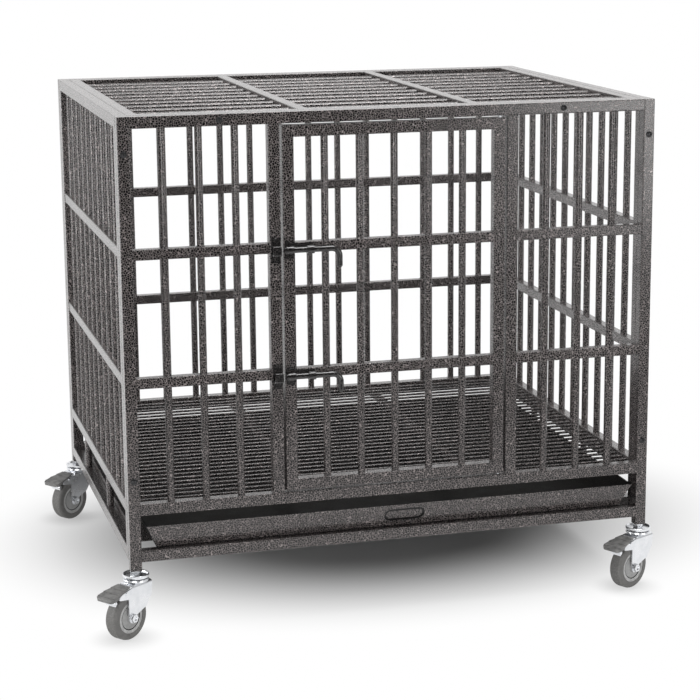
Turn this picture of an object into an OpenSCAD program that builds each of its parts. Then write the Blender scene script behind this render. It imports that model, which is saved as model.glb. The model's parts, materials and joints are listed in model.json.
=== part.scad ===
// Heavy duty dog crate on braked swivel casters.
// Millimetres, +Z up, the door on the -Y side.
// The origin lies on the floor below the middle of the crate.

/* [Crate] */
// Width over the front posts
crate_w = 950; // [850:10:1150]
// Depth over the front and back panels
crate_d = 750; // [620:10:900]
// Height from the foot of the legs to the top
frame_h = 778; // [680:1:900]
// Foot of the legs to the underside of the base rail
leg_drop = 15; // [8:1:30]
// Foot of the legs to the underside of the floor rail
floor_rise = 97.5; // [94:0.5:130]
// Clear width of the doorway
doorway_w = 404; // [340:2:480]

/* [Tube and bar] */
// Square tube of posts and rails
tube = 20; // [19:0.5:24]
// Wall of every square tube
tube_wall = 1.2; // [1:0.1:2]
// Edge radius of the square tube
tube_edge = 1.6; // [0.8:0.1:2.4]
// Square tube of the middle rails
mid_tube = 18; // [16:0.5:19]
// Diameter of the round bars
bar_d = 12.7; // [10:0.1:14]
// Wall of the round bars
bar_wall = 1; // [0.8:0.1:2]
// Bar spacing, centre to centre, before it is evened out
bar_pitch = 62; // [50:1:80]
// Cross rail of the top, distance from the middle
top_cross_x = 152; // [100:1:250]

/* [Side panels] */
// Front foot strut, distance from the middle
strut_front_y = -90; // [-160:5:-40]
// Back foot strut, distance from the middle
strut_back_y = 188; // [100:2:220]

/* [Floor grate] */
// Wire diameter
wire_d = 5; // [4:0.5:7]
// Wire spacing before it is evened out
wire_pitch = 24; // [20:1:35]
// Flat bar of the grate's border
band_w = 20; // [15:1:30]
// Thickness of the grate's flat bar
band_t = 4; // [3:0.5:8]
// Cross strap of the grate, distance from the middle
strap_x = 150; // [100:5:250]

/* [Tray] */
// Foot of the legs to the underside of the tray
tray_rise = 36; // [36:0.5:45]
// Height of the tray
tray_h = 42; // [30:1:45]
// Flare of the side and back walls
tray_flare = 18; // [10:1:20]
// Flare of the front wall
tray_front_flare = 15; // [10:1:20]
// Sheet of the tray
tray_sheet = 1; // [0.8:0.1:2]
// Middle of the finger pull, distance from the middle of the tray
pull_x = 16; // [-60:1:60]
// Length of the pressed finger pull
pull_l = 72; // [50:1:100]
// Height of the pressed finger pull
pull_h = 22; // [16:1:24]
// Depth of the pressed finger pull
pull_depth = 3; // [2:0.5:4]

/* [Door] */
// Gap at each side of the door
door_gap = 4; // [3.5:0.1:6]
// Gap above and below the door
door_end_gap = 3; // [2:0.1:6]
// Hinge pin diameter
pin_d = 7; // [5:0.5:8]
// Hinge pin centre from the front and hinge-side faces of the door
pin_inset = 8; // [7:0.5:9]

/* [Latches] */
// Slide bolt diameter
bolt_d = 10; // [7:0.5:11]
// Travel of the slide bolt
bolt_throw = 28; // [26:1:34]
// Line of the bolt below the middle of its rail
bolt_drop = 3; // [0:0.5:4]
// Length of the drop handle below the bolt
handle_drop = 29; // [25:1:50]
// Strap thickness of guides and keepers
strap_t = 2; // [1.5:0.1:3]

/* [Casters] */
// Floor to the foot of the legs
caster_h = 116; // [114:1:130]
// Wheel diameter
wheel_d = 80; // [65:1:82]
// Tyre width
tyre_w = 25; // [20:1:28]
// Wheel axle behind the swivel axis
trail = 27; // [20:1:30]
// Direction in which the left casters trail
trail_angle = 217; // [0:1:359]
// Direction in which the front right caster trails
right_angle = 208; // [0:1:359]

/* [Hidden] */
$fn = 64;
// Running clearance on the radius of pins and bores
run = 0.05;
// Clearance between parts that slide past each other
slip = 0.3;
half_w = crate_w / 2;
half_d = crate_d / 2;
foot_z = caster_h;
top_z = foot_z + frame_h;
base_z = foot_z + leg_drop;
floor_z = foot_z + floor_rise;
floor_top = floor_z + tube;
head_z = top_z - tube;
post_x = half_w - tube / 2;
post_y = half_d - tube / 2;
mid_gap = (head_z - floor_top - 2 * mid_tube) / 3;
mid_z = [for (i = [1:2]) floor_top + i * mid_gap + (i - 0.5) * mid_tube];

function bar_count(clear) = max(1, round((clear - (bar_pitch - bar_d)) / bar_pitch));
function bar_step(clear, n) = (clear - n * bar_d) / (n + 1) + bar_d;
function bar_at(low, high, i, n) =
    low + bar_step(high - low, n) * (i + 1) - bar_d / 2;

// Door, hinged on its right stile
door_half = doorway_w / 2 - door_gap;
door_low = floor_top + door_end_gap;
door_high = head_z - door_end_gap;
hinge_x = door_half - pin_inset;
hinge_y = -half_d + pin_inset;
hinge_block = 18;
pin_reach = 15;

// Panel screws
screw_d = 6;
screw_hole = 6.4;
screw_head_d = 11;
screw_head_h = 3.2;
nut_d = 9;
nut_l = 12;
screw_rise = 159;
screw_low = foot_z + screw_rise;
screw_high = top_z - 62;
screw_top_x = 2 * top_cross_x;
fit_gap = 0.3;

// Floor grate, seated on ledges along the side panels
ledge_leg = 20;
ledge_t = 2;
wire_sink = 1;
wire_top = floor_top - 2;
band_top = wire_top - wire_d + wire_sink;
band_low = band_top - band_t;
grate_half_x = half_w - tube - 1;
grate_half_y = half_d - tube - 1;

// Tray, carried by angle runners under its flared side walls
tray_low = foot_z + tray_rise;
tray_high = tray_low + tray_h;
tray_top_half = half_w - tube - 10;
tray_low_half = tray_top_half - tray_flare;
tray_front_top = -half_d - 1;
tray_back_top = half_d - tube - 6;
pull_low = 3;
hem_h = 4;
hem_t = 1;
// Turn of the tray's front and back sheets round its corners
corner_return = 0.5;
// Length by which the tray's cutting forms run past the crate
past = 50;
runner_t = 2;
runner_lift = 9;
runner_z = tray_low + runner_lift;
runner_drop = runner_z - base_z - 6;
runner_in = tray_low_half + tray_flare * runner_lift / tray_h + slip * 1.2;
front_lean = atan(tray_front_flare / tray_h);

// Latches: the bolts rest drawn back, clear of the keepers
bolt_z = [for (z = mid_z) z - bolt_drop];
bolt_y = -half_d - strap_t - bolt_d / 2 - 0.6;
bolt_tip = -door_half - 2;
handle_bend = bolt_d * 1.4;
handle_x = bolt_tip + 98;
loop_wall = 2.2;
guide_flange = 17;
keeper_flange = 26;
keeper_clear = 1.6;
guide_low = -door_half + 1.5;
guide_high = handle_x - handle_bend - bolt_throw - 3;

// Caster levels, from the foot of the leg downwards, and its side plates
stem_l = 25;
plug_h = 30;
hex_across = 17;
hex_h = 9.5;
cup_r = 23;
cup_low = -13;
race_high = cup_low - 0.5;
race_low = -19;
crown_low = -22;
king_r = 6;
wheel_r = wheel_d / 2;
axle_z = wheel_r - caster_h;
fork_in = tyre_w / 2 + 2;
fork_t = 2.5;
fork_out = fork_in + fork_t;
crown_front = cup_r + 0.5;
axle_r = 4;
sleeve_r = 6;
lug = [trail + 28, -33];
lug_r = 4.5;
pedal_pin_r = 2.5;
stop_pin = [lug[0] - 15, lug[1] + 3.5];
stop_pin_r = 2;
pin_head = 1.2;
pedal_slope = 13;

// Pedal in its own frame, from the pin: foot end, tail, half widths and levels
pedal_reach = 24;
pedal_tail = 28;
pedal_half = 20;
pedal_tail_half = 14;
pedal_round = 8;
pedal_low = lug_r + 0.5;
tread_h = 1;
tread_ends = [-12, 3, 17];
skirt_low = 1.5;
skirt_start = lug_r + 1.5;
shoe_drop = 12.4;

// Foot of each leg and the way its caster trails
caster_spots = [
    [-post_x, -post_y, trail_angle],
    [post_x, -post_y, right_angle],
    [-post_x, post_y, trail_angle],
    [post_x, post_y, trail_angle + 180]
];

coat = [0.30, 0.29, 0.28];
coat_dark = [0.22, 0.22, 0.22];
zinc = [0.78, 0.79, 0.80];
grey_plastic = [0.42, 0.43, 0.43];
tyre_grey = [0.36, 0.36, 0.35];
hub_grey = [0.62, 0.62, 0.60];

// Square with rounded corners, centred
module round_square(side, edge) {
    square([side, side - 2 * edge], center = true);
    square([side - 2 * edge, side], center = true);
    for (x = [-1, 1], y = [-1, 1])
        translate([x * (side / 2 - edge), y * (side / 2 - edge)])
            circle(r = edge, $fn = 32);
}

// Slot outline with round ends, centred
module round_slot(length, height) {
    square([length - height, height], center = true);
    for (x = [-1, 1])
        translate([x * (length - height) / 2, 0])
            circle(d = height);
}

// Outside of a square tube along X, Y or Z
module beam_x(low, high, y, z, side = tube) {
    translate([low, y, z])
        rotate([90, 0, 90])
            linear_extrude(high - low)
                round_square(side, tube_edge);
}

module beam_y(low, high, x, z, side = tube) {
    translate([x, low, z])
        rotate([-90, 0, 0])
            linear_extrude(high - low)
                round_square(side, tube_edge);
}

module beam_z(low, high, x, y, side = tube) {
    translate([x, y, low])
        linear_extrude(high - low)
            round_square(side, tube_edge);
}

// Inside of a square tube along X, Y or Z
module bore_x(low, high, y, z, side = tube) {
    inner = side - 2 * tube_wall;
    translate([low, y - inner / 2, z - inner / 2])
        cube([high - low, inner, inner]);
}

module bore_y(low, high, x, z, side = tube) {
    inner = side - 2 * tube_wall;
    translate([x - inner / 2, low, z - inner / 2])
        cube([inner, high - low, inner]);
}

module bore_z(low, high, x, y, side = tube) {
    inner = side - 2 * tube_wall;
    translate([x - inner / 2, y - inner / 2, low])
        cube([inner, inner, high - low]);
}

// Row of upright bars between two x positions, with even clear gaps
module bar_row(low, high, y, z_low, z_high, d = bar_d) {
    n = bar_count(high - low);
    for (i = [0:n - 1])
        translate([bar_at(low, high, i, n), y, z_low])
            cylinder(d = d, h = z_high - z_low, $fn = 32);
}

// Row of bars along X, laid between two y positions
module bar_rank(low, high, z, x_low, x_high, d = bar_d) {
    n = bar_count(high - low);
    for (i = [0:n - 1])
        translate([x_low, bar_at(low, high, i, n), z])
            rotate([0, 90, 0])
                cylinder(d = d, h = x_high - x_low, $fn = 32);
}

// Places its children at each post screw, local +Z out of the panel's face
module at_post_screws() {
    for (x = [-post_x, post_x], z = [screw_low, screw_high]) {
        translate([x, -half_d, z])
            rotate([90, 0, 0])
                children();
        translate([x, half_d, z])
            rotate([-90, 0, 0])
                children();
    }
}

// Places its children at each screw of the top panel
module at_top_screws() {
    for (x = [-screw_top_x, screw_top_x]) {
        translate([x, -half_d, top_z - tube / 2])
            rotate([90, 0, 0])
                children();
        translate([x, half_d, top_z - tube / 2])
            rotate([-90, 0, 0])
                children();
    }
}

module screw_clearance() {
    translate([0, 0, -tube - 1])
        cylinder(d = screw_hole, h = tube + 2, $fn = 32);
}

module nut_clearance() {
    translate([0, 0, -tube - 5])
        cylinder(d = nut_d, h = 6, $fn = 32);
}

// Corner post with its leg, capped at the top and open at the foot
module corner_post(x, y) {
    difference() {
        beam_z(foot_z, top_z, x, y);
        bore_z(foot_z - 1, top_z - tube_wall, x, y);
        at_post_screws()
            screw_clearance();
    }
}

module front_left_post() {
    color(coat)
        corner_post(-post_x, -post_y);
}

module front_right_post() {
    color(coat)
        corner_post(post_x, -post_y);
}

module back_left_post() {
    color(coat)
        corner_post(-post_x, post_y);
}

module back_right_post() {
    color(coat)
        corner_post(post_x, post_y);
}

// Door post with the bars and middle rails between it and the corner post
module side_light() {
    low = -half_w + tube;
    high = -doorway_w / 2 - tube;
    difference() {
        union() {
            difference() {
                union() {
                    beam_z(floor_top, head_z, high + tube / 2, -post_y);
                    for (z = mid_z)
                        beam_x(low, high + tube / 2, -post_y, z, mid_tube);
                }
                bore_z(floor_top - 1, head_z + 1, high + tube / 2, -post_y);
                for (z = mid_z)
                    bore_x(low - 1, high + tube / 2, -post_y, z, mid_tube);
            }
            bar_row(low, high, -post_y, floor_top, head_z);
        }
        bar_row(low, high, -post_y, floor_top - 1, head_z + 1, bar_d - 2 * bar_wall);
    }
}

module front_left_grille() {
    color(coat)
        side_light();
}

module front_right_grille() {
    color(coat)
        mirror([1, 0, 0])
            side_light();
}

// Open tube across the front or back, from post to post
module cross_rail(y, z) {
    difference() {
        beam_x(-half_w + tube, half_w - tube, y, z);
        bore_x(-half_w, half_w, y, z);
    }
}

module front_top_rail() {
    color(coat)
        difference() {
            cross_rail(-post_y, head_z + tube / 2);
            at_top_screws()
                screw_clearance();
            translate([hinge_x, hinge_y, head_z - 1])
                cylinder(d = pin_d, h = tube_wall + 2, $fn = 32);
        }
}

module front_floor_rail() {
    color(coat)
        difference() {
            cross_rail(-post_y, floor_z + tube / 2);
            translate([hinge_x, hinge_y, floor_top - tube_wall - 1])
                cylinder(d = pin_d, h = tube_wall + 2, $fn = 32);
        }
}

module front_base_rail() {
    color(coat)
        cross_rail(-post_y, base_z + tube / 2);
}

// Back wall: floor, middle and top rails with the bars let into them
module back_grille() {
    low = -half_w + tube;
    high = half_w - tube;
    color(coat)
        difference() {
            union() {
                cross_rail(post_y, floor_z + tube / 2);
                cross_rail(post_y, head_z + tube / 2);
                for (z = mid_z)
                    difference() {
                        beam_x(low, high, post_y, z, mid_tube);
                        bore_x(low - 1, high + 1, post_y, z, mid_tube);
                    }
                bar_row(low, high, post_y, floor_top - tube_wall, head_z + tube_wall);
            }
            bar_row(low, high, post_y, floor_top - 4, head_z + 4, bar_d - 2 * bar_wall);
            at_top_screws()
                screw_clearance();
        }
}

module back_base_rail() {
    color(coat)
        cross_rail(post_y, base_z + tube / 2);
}

// Side panel drawn along X: two posts, five rails, the bars and two foot struts
module side_wall(strut_a, strut_b) {
    span = half_d - tube;
    low = -span + tube;
    high = span - tube;
    rails = [base_z + tube / 2, floor_z + tube / 2, head_z + tube / 2];
    difference() {
        union() {
            difference() {
                union() {
                    for (x = [-span + tube / 2, span - tube / 2])
                        beam_z(base_z, top_z, x, 0);
                    for (z = rails)
                        beam_x(low - tube / 2, high + tube / 2, 0, z);
                    for (z = mid_z)
                        beam_x(low - tube / 2, high + tube / 2, 0, z, mid_tube);
                }
                for (x = [-span + tube / 2, span - tube / 2])
                    bore_z(base_z - 1, top_z - tube_wall, x, 0);
                for (z = rails)
                    bore_x(low - tube / 2, high + tube / 2, 0, z);
                for (z = mid_z)
                    bore_x(low - tube / 2, high + tube / 2, 0, z, mid_tube);
            }
            bar_row(low, high, 0, floor_top - tube_wall, head_z + tube_wall);
            for (x = [strut_a, strut_b])
                translate([x, 0, base_z + tube - tube_wall])
                    cylinder(d = bar_d, h = floor_z - base_z - tube + 2 * tube_wall, $fn = 32);
        }
        bar_row(low, high, 0, floor_top - 4, head_z + 4, bar_d - 2 * bar_wall);
        for (x = [strut_a, strut_b])
            translate([x, 0, base_z + tube - 4])
                cylinder(d = bar_d - 2 * bar_wall, h = floor_z - base_z - tube + 8, $fn = 32);
    }
}

module left_panel() {
    color(coat)
        difference() {
            translate([-post_x, 0, 0])
                rotate([0, 0, 90])
                    side_wall(strut_front_y, strut_back_y);
            at_post_screws()
                nut_clearance();
        }
}

module right_panel() {
    color(coat)
        difference() {
            translate([post_x, 0, 0])
                rotate([0, 0, 90])
                    side_wall(strut_front_y, strut_back_y);
            at_post_screws()
                nut_clearance();
        }
}

// Top, dropped in flush between the four top rails
module top_panel() {
    span_x = half_w - tube - fit_gap;
    span_y = half_d - tube - fit_gap;
    low = -span_y + tube;
    high = span_y - tube;
    z = top_z - tube / 2;
    sides = [-span_x + tube / 2, -top_cross_x, top_cross_x, span_x - tube / 2];
    color(coat)
        difference() {
            union() {
                difference() {
                    union() {
                        for (y = [low - tube / 2, high + tube / 2])
                            beam_x(-span_x, span_x, y, z);
                        for (x = sides)
                            beam_y(low - tube / 2, high + tube / 2, x, z);
                    }
                    for (y = [low - tube / 2, high + tube / 2])
                        bore_x(-span_x + tube_wall, span_x - tube_wall, y, z);
                    for (x = sides)
                        bore_y(low - tube / 2, high + tube / 2, x, z);
                }
                bar_rank(low, high, z, -span_x + tube - tube_wall, span_x - tube + tube_wall);
            }
            bar_rank(low, high, z, -span_x + tube - 4, span_x - tube + 4, bar_d - 2 * bar_wall);
            at_top_screws()
                nut_clearance();
        }
}

// Floor: flat-bar border and straps with wires laid across them
module floor_grate() {
    wires = round((2 * grate_half_y - 2 * band_w) / wire_pitch);
    step = (2 * grate_half_y - 2 * band_w) / wires;
    color(coat_dark)
        union() {
            for (y = [-grate_half_y, grate_half_y - band_w])
                translate([-grate_half_x, y, band_low])
                    cube([2 * grate_half_x, band_w, band_t]);
            for (x = [-grate_half_x, -strap_x - band_w / 2, strap_x - band_w / 2, grate_half_x - band_w])
                translate([x, -grate_half_y, band_low])
                    cube([band_w, 2 * grate_half_y, band_t]);
            for (i = [0:wires])
                translate([-grate_half_x + 2, -grate_half_y + band_w + i * step, wire_top - wire_d / 2])
                    rotate([0, 90, 0])
                        cylinder(d = wire_d, h = 2 * grate_half_x - 4, $fn = 24);
        }
}

// Angles on the side panels' floor rails that carry the grate
module grate_ledges() {
    color(coat)
        for (s = [-1, 1])
            translate([s * (half_w - tube), 0, band_low])
                mirror([s > 0 ? 1 : 0, 0, 0])
                    rotate([90, 0, 0])
                        linear_extrude(2 * grate_half_y - 2 * tube, center = true)
                            polygon([[0, 0], [ledge_leg, 0], [ledge_leg, -ledge_t],
                                [ledge_t, -ledge_t], [ledge_t, -ledge_leg], [0, -ledge_leg]]);
}

// Angles on the side panels' base rails that carry the tray's flared walls
module tray_runners() {
    reach = half_w - tube - runner_in;
    color(coat)
        for (s = [-1, 1])
            translate([s * (half_w - tube), 0, runner_z])
                mirror([s > 0 ? 1 : 0, 0, 0])
                    rotate([90, 0, 0])
                        linear_extrude(2 * half_d - 2 * tube - 20, center = true)
                            polygon([[0, 0], [reach, 0], [reach, -runner_t],
                                [runner_t, -runner_t], [runner_t, -runner_drop], [0, -runner_drop]]);
}

// Block with the tray's leaning walls, grown outwards by the given amount
module tray_block(grow, low, high) {
    lean = tray_flare / tray_h;
    front_slant = tray_front_flare / tray_h;
    side_low = tray_low_half + (low - tray_low) * lean + grow;
    side_high = tray_low_half + (high - tray_low) * lean + grow;
    front_low = tray_front_top + (tray_high - low) * front_slant - grow;
    front_high = tray_front_top + (tray_high - high) * front_slant - grow;
    back_low = tray_back_top - (tray_high - low) * lean + grow;
    back_high = tray_back_top - (tray_high - high) * lean + grow;
    intersection() {
        translate([0, half_d + past, 0])
            rotate([90, 0, 0])
                linear_extrude(crate_d + 2 * past)
                    polygon([[-side_low, low], [side_low, low], [side_high, high], [-side_high, high]]);
        translate([-half_w, 0, 0])
            rotate([90, 0, 90])
                linear_extrude(crate_w)
                    polygon([[front_low, low], [back_low, low], [back_high, high], [front_high, high]]);
    }
}

// Places its children on the tray's front wall, local +Z out of the wall
module at_pull() {
    translate([pull_x, tray_front_top + tray_front_flare * (0.5 + pull_low / tray_h),
            tray_low + tray_h / 2 - pull_low])
        rotate([90 + front_lean, 0, 0])
            children();
}

// Walls of the pan with their folded hem, without the floor
module tray_walls() {
    difference() {
        union() {
            tray_block(0, tray_low + tray_sheet, tray_high);
            tray_block(hem_t, tray_high - hem_h, tray_high);
        }
        tray_block(-tray_sheet, tray_low, tray_high + 1);
    }
}

// Space in front of the pan's inside, or behind it, across its whole width
module tray_end(back) {
    lean = (back ? tray_flare : tray_front_flare) / tray_h;
    edge = (back ? tray_back_top : -tray_front_top) - tray_sheet - corner_return;
    low = tray_low - 1;
    high = tray_high + 1;
    mirror([0, back ? 0 : 1, 0])
        translate([-half_w, 0, 0])
            rotate([90, 0, 90])
                linear_extrude(crate_w)
                    polygon([[edge - (tray_high - low) * lean, low], [half_d + past, low],
                        [half_d + past, high], [edge - (tray_high - high) * lean, high]]);
}

module tray_floor() {
    color(coat)
        tray_block(0, tray_low, tray_low + tray_sheet);
}

// Front wall with the pressed finger pull
module tray_front() {
    color(coat)
        difference() {
            union() {
                intersection() {
                    tray_walls();
                    tray_end(false);
                }
                at_pull()
                    translate([0, 0, -pull_depth - tray_sheet])
                        linear_extrude(pull_depth + tray_sheet)
                            round_slot(pull_l + 2 * tray_sheet, pull_h + 2 * tray_sheet);
            }
            at_pull()
                translate([0, 0, -pull_depth])
                    linear_extrude(pull_depth + 5)
                        round_slot(pull_l, pull_h);
        }
}

module tray_back() {
    color(coat)
        intersection() {
            tray_walls();
            tray_end(true);
        }
}

module tray_sides() {
    color(coat)
        difference() {
            tray_walls();
            tray_end(false);
            tray_end(true);
        }
}

// Door: mitred tube frame, two middle rails, bars and solid hinge blocks
module door_panel() {
    low = -door_half + tube;
    high = door_half - tube;
    rails = [door_low + tube / 2, door_high - tube / 2];
    color(coat)
        difference() {
            union() {
                difference() {
                    union() {
                        for (x = [low - tube / 2, high + tube / 2])
                            beam_z(door_low, door_high, x, -post_y);
                        for (z = rails)
                            beam_x(-door_half, door_half, -post_y, z);
                        for (z = mid_z)
                            beam_x(low - tube / 2, high + tube / 2, -post_y, z, mid_tube);
                    }
                    bore_z(door_low + tube_wall, door_high - tube_wall, low - tube / 2, -post_y);
                    bore_z(door_low + hinge_block, door_high - hinge_block, high + tube / 2, -post_y);
                    for (z = rails)
                        bore_x(low - tube / 2, high, -post_y, z);
                    for (z = mid_z)
                        bore_x(low - tube / 2, high + tube / 2, -post_y, z, mid_tube);
                }
                bar_row(low, high, -post_y, door_low + tube - tube_wall, door_high - tube + tube_wall);
            }
            bar_row(low, high, -post_y, door_low + tube - 4, door_high - tube + 4, bar_d - 2 * bar_wall);
            for (z = [door_low - 1, door_high - hinge_block - 1])
                translate([hinge_x, hinge_y, z])
                    cylinder(r = pin_d / 2 + run, h = hinge_block + 2, $fn = 48);
        }
}

// Pins in the top and floor rails on which the door turns
module hinge_pins() {
    length = pin_reach + door_end_gap + tube_wall + 4;
    color(zinc) {
        translate([hinge_x, hinge_y, door_high - pin_reach])
            cylinder(d = pin_d, h = length, $fn = 48);
        translate([hinge_x, hinge_y, door_low + pin_reach - length])
            cylinder(d = pin_d, h = length, $fn = 48);
    }
}

// Strap bent close round the bolt, between two x positions
module bolt_loop(low, high) {
    bore = bolt_d / 2 + run + 0.03;
    outer = bore + loop_wall;
    translate([low, bolt_y, 0])
        rotate([90, 0, 90])
            linear_extrude(high - low)
                difference() {
                    union() {
                        circle(r = outer, $fn = 48);
                        translate([0, -outer])
                            square([-half_d - bolt_y, 2 * outer]);
                    }
                    circle(r = bore, $fn = 48);
                }
}

// Foot plate of a strap against a face, with two rivet heads
module foot_plate(low, high, height) {
    middle = (low + high) / 2;
    translate([low, -half_d - strap_t, -height / 2])
        cube([high - low, strap_t, height]);
    for (z = [-1, 1])
        translate([middle, -half_d - strap_t, z * (height / 2 - 3.5)])
            rotate([90, 0, 0])
                cylinder(d1 = 5, d2 = 3.4, h = 1, $fn = 24);
}

// Guide on the door for each bolt: two loops on a backing strip
module bolt_guide() {
    recess = (tube - mid_tube) / 2;
    strip = mid_tube - 2 * tube_edge;
    foot_plate(guide_low, guide_low + 15, bolt_d + 2 * loop_wall + guide_flange);
    translate([guide_low, -half_d - strap_t, bolt_drop - strip / 2])
        cube([guide_high - guide_low, strap_t, strip]);
    translate([-door_half + tube, -half_d - strap_t, bolt_drop - strip / 2])
        cube([guide_high + door_half - tube, strap_t + recess, strip]);
    bolt_loop(guide_low + 1, guide_low + 14);
    bolt_loop(guide_high - 12, guide_high);
}

module latch_guides() {
    color(coat)
        for (z = bolt_z)
            translate([0, 0, z])
                bolt_guide();
}

// Keeper on the door post for each bolt: a foot plate with a bent staple
module latch_keepers() {
    middle = -doorway_w / 2 - tube / 2;
    back = -half_d - strap_t;
    open_h = bolt_d + 2 * keeper_clear;
    open_d = back - bolt_y + bolt_d / 2 + keeper_clear;
    outer_h = open_h + 2 * loop_wall;
    outer_d = open_d + loop_wall;
    bend = 3;
    color(coat)
        for (z = bolt_z)
            translate([0, 0, z]) {
                foot_plate(middle - 8, middle + 8, outer_h + keeper_flange);
                translate([middle - 7, back, 0])
                    rotate([90, 0, 90])
                        linear_extrude(14)
                            difference() {
                                union() {
                                    translate([-outer_d + bend, -outer_h / 2])
                                        square([outer_d - bend, outer_h]);
                                    translate([-outer_d, -outer_h / 2 + bend])
                                        square([outer_d, outer_h - 2 * bend]);
                                    for (v = [-1, 1])
                                        translate([-outer_d + bend, v * (outer_h / 2 - bend)])
                                            circle(r = bend, $fn = 32);
                                }
                                translate([-open_d, -open_h / 2])
                                    square([open_d + 1, open_h]);
                            }
            }
}

// Slide bolt with a chamfered tip and a bent drop handle
module slide_bolt(z) {
    bend_x = handle_x - handle_bend;
    color(coat)
        translate([0, bolt_y, z]) {
            translate([bolt_tip, 0, 0])
                rotate([0, 90, 0])
                    cylinder(d1 = bolt_d - 3, d2 = bolt_d, h = 2, $fn = 48);
            translate([bolt_tip + 2, 0, 0])
                rotate([0, 90, 0])
                    cylinder(d = bolt_d, h = bend_x - bolt_tip - 2, $fn = 48);
            translate([bend_x, 0, -handle_bend])
                rotate([90, 0, 0])
                    rotate_extrude(angle = 90, $fn = 48)
                        translate([handle_bend, 0])
                            circle(d = bolt_d, $fn = 48);
            translate([handle_x, 0, -handle_drop])
                cylinder(d = bolt_d, h = handle_drop - handle_bend, $fn = 48);
            translate([handle_x, 0, -handle_drop])
                sphere(d = bolt_d, $fn = 48);
        }
}

module upper_bolt() {
    slide_bolt(bolt_z[1]);
}

module lower_bolt() {
    slide_bolt(bolt_z[0]);
}

// Button-head screw, head seated on the panel's face
module button_screw() {
    difference() {
        union() {
            intersection() {
                cylinder(d = screw_head_d, h = screw_head_h, $fn = 48);
                translate([0, 0, screw_head_h - screw_head_d * 0.72])
                    sphere(r = screw_head_d * 0.72, $fn = 48);
            }
            translate([0, 0, -tube - fit_gap - nut_l])
                cylinder(d = screw_d, h = tube + fit_gap + nut_l, $fn = 32);
        }
        translate([0, 0, screw_head_h - 2])
            cylinder(d = 4.6, h = 3, $fn = 6);
    }
}

module panel_screws() {
    color(coat_dark) {
        at_post_screws()
            button_screw();
        at_top_screws()
            button_screw();
    }
}

// Threaded insert in the inner tube behind each screw
module rivet_nut(gap) {
    translate([0, 0, -tube - gap - nut_l])
        difference() {
            cylinder(d = nut_d, h = nut_l, $fn = 32);
            translate([0, 0, -1])
                cylinder(d = screw_d, h = nut_l + 2, $fn = 32);
        }
}

module rivet_nuts() {
    color(zinc) {
        at_post_screws()
            rivet_nut(0);
        at_top_screws()
            rivet_nut(fit_gap);
    }
}

// Square plug in each leg, bored for the caster's stem
module leg_plugs() {
    side = tube - 2 * tube_wall;
    color(coat_dark)
        for (s = caster_spots)
            translate([s[0], s[1], foot_z])
                difference() {
                    translate([-side / 2, -side / 2, 0])
                        cube([side, side, plug_h]);
                    translate([0, 0, -1])
                        cylinder(d = 10, h = plug_h + 2, $fn = 32);
                }
}

// Threaded stem, hexagon, king pin and its riveted head, held by the leg
module caster_stems() {
    color(zinc)
        for (s = caster_spots)
            translate([s[0], s[1], foot_z])
                union() {
                    cylinder(d = 10, h = stem_l, $fn = 32);
                    translate([0, 0, -hex_h])
                        cylinder(d = hex_across / cos(30), h = hex_h, $fn = 6);
                    translate([0, 0, crown_low - 1])
                        cylinder(r = king_r, h = -crown_low + 1 - hex_h, $fn = 48);
                    translate([0, 0, crown_low - 3.5])
                        cylinder(r1 = king_r + 1.5, r2 = king_r + 3, h = 3, $fn = 48);
                }
}

// Pressed cup round the hexagon, the fixed half of the swivel race
module caster_cups() {
    color(zinc)
        for (s = caster_spots)
            translate([s[0], s[1], foot_z])
                rotate_extrude($fn = 64)
                    polygon([[king_r, cup_low], [cup_r - 3, cup_low], [cup_r - 0.6, cup_low + 2],
                        [cup_r, cup_low + 4], [cup_r, -6.6], [cup_r - 0.8, -5.8], [cup_r - 1.8, -5.8],
                        [cup_r - 2.6, -6.6], [cup_r - 4, -hex_h], [king_r, -hex_h]]);
}

// Places its children at one caster, local +X the way it trails
module at_caster(i) {
    translate([caster_spots[i][0], caster_spots[i][1], foot_z])
        rotate([0, 0, caster_spots[i][2]])
            children();
}

// Side view of the fork's plates
module fork_outline() {
    polygon([[-22, race_low], [19, race_low], [crown_front + 3.5, race_low - 3.5],
        [lug[0] - 5, lug[1] + lug_r + 1], [lug[0], lug[1] + lug_r], [lug[0], lug[1] - lug_r],
        [trail + 9, lug[1] - lug_r - 3], [trail + 9, axle_z], [trail - 8.4, axle_z + 3.2],
        [-6, axle_z + 13], [-20, axle_z + 32], [-22, race_low - 6]]);
    translate(lug)
        circle(r = lug_r, $fn = 48);
    translate([trail, axle_z])
        circle(r = 9, $fn = 48);
}

// End view of the fork: a channel with bent top edges
module fork_channel() {
    bend = 5;
    difference() {
        union() {
            translate([-fork_out, axle_z - 10])
                square([2 * fork_out, race_low - bend - axle_z + 10]);
            translate([-fork_out + bend, axle_z - 10])
                square([2 * (fork_out - bend), race_low - axle_z + 10]);
            for (y = [-1, 1])
                translate([y * (fork_out - bend), race_low - bend])
                    circle(r = bend, $fn = 32);
        }
        translate([-fork_in, axle_z - 11])
            square([2 * fork_in, crown_low - axle_z + 11 - 2]);
        translate([-fork_in + 2, axle_z - 11])
            square([2 * fork_in - 4, crown_low - axle_z + 11]);
        for (y = [-1, 1])
            translate([y * (fork_in - 2), crown_low - 2])
                circle(r = 2, $fn = 32);
    }
}

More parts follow.
